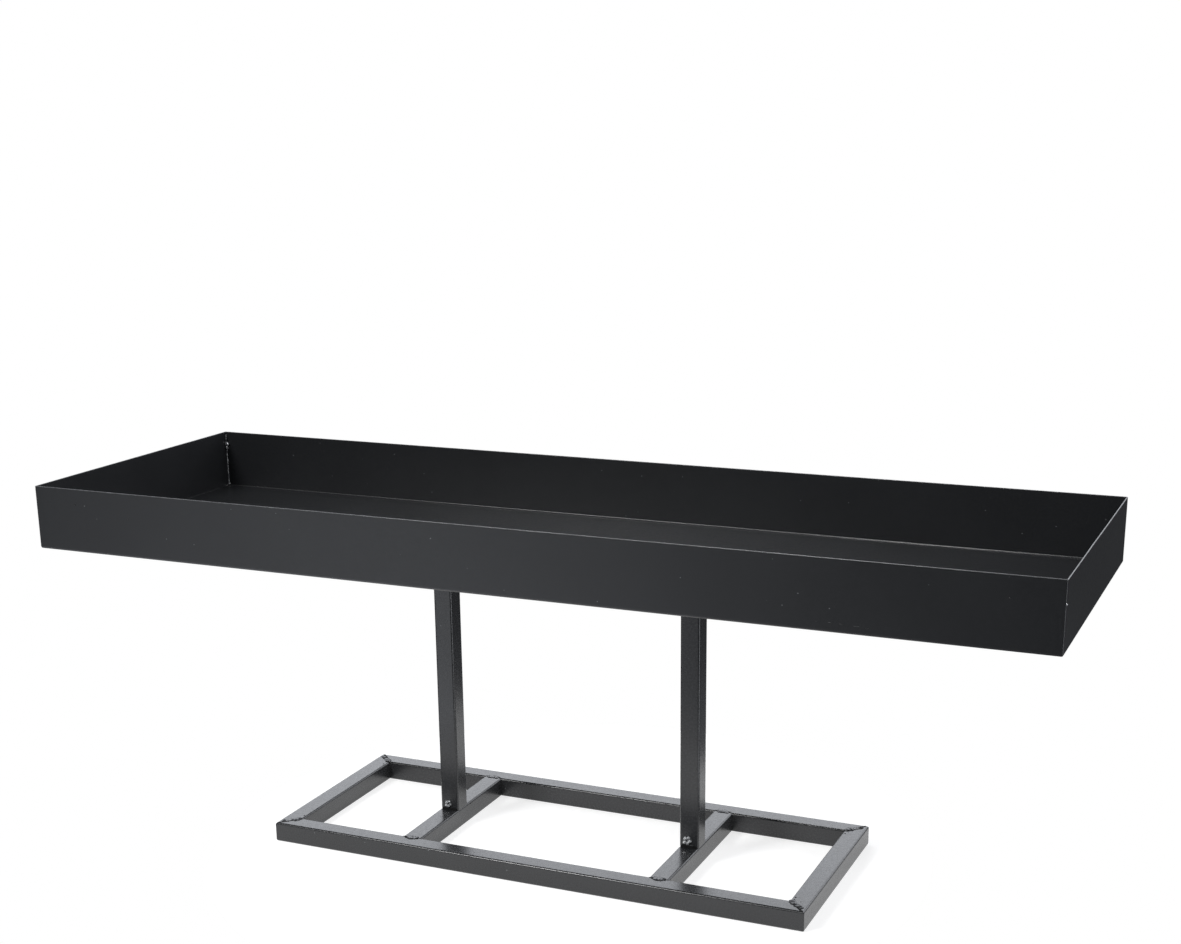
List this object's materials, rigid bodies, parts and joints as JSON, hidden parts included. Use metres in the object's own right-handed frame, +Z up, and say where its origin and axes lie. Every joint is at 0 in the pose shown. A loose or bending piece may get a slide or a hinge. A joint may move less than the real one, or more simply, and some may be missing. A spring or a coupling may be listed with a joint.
{
  "type": "raised planter",
  "caption": "Long shallow open metal planting tray raised on two square-tube posts that stand on a welded rectangular tube base.",
  "frame": {"origin": "on the ground, under the middle of the tray", "axes": "+X along the tray, +Y to the back, +Z up"},
  "size_m": [1, 0.325, 0.363],
  "materials": {
    "powder_coated_sheet": "satin black powder coat on 1.2 mm mild steel sheet",
    "powder_coated_tube": "satin black powder coat on 20 mm square steel tube",
    "powder_coated_weld": "black powder coat over rippled weld beads"
  },
  "bodies": {
    "root": {"tray": "powder_coated_sheet", "front_rail": "powder_coated_tube", "back_rail": "powder_coated_tube", "left_end_rail": "powder_coated_tube", "right_end_rail": "powder_coated_tube", "left_cross_member": "powder_coated_tube", "right_cross_member": "powder_coated_tube", "left_post": "powder_coated_tube", "right_post": "powder_coated_tube", "left_head_plate": "powder_coated_tube", "right_head_plate": "powder_coated_tube", "base_back_left_corner_weld": "powder_coated_weld", "base_back_right_corner_weld": "powder_coated_weld", "base_front_left_corner_weld": "powder_coated_weld", "base_front_right_corner_weld": "powder_coated_weld", "left_cross_member_back_weld": "powder_coated_weld", "left_cross_member_front_weld": "powder_coated_weld", "left_plate_back_stitch": "powder_coated_weld", "left_plate_front_stitch": "powder_coated_weld", "left_post_back_foot_weld": "powder_coated_weld", "left_post_front_foot_weld": "powder_coated_weld", "left_post_head_weld": "powder_coated_weld", "right_cross_member_back_weld": "powder_coated_weld", "right_cross_member_front_weld": "powder_coated_weld", "right_plate_back_stitch": "powder_coated_weld", "right_plate_front_stitch": "powder_coated_weld", "right_post_back_foot_weld": "powder_coated_weld", "right_post_front_foot_weld": "powder_coated_weld", "right_post_head_weld": "powder_coated_weld", "tray_back_left_corner_weld": "powder_coated_weld", "tray_back_right_corner_weld": "powder_coated_weld", "tray_front_left_corner_weld": "powder_coated_weld", "tray_front_right_corner_weld": "powder_coated_weld"}
  },
  "joints": []
}
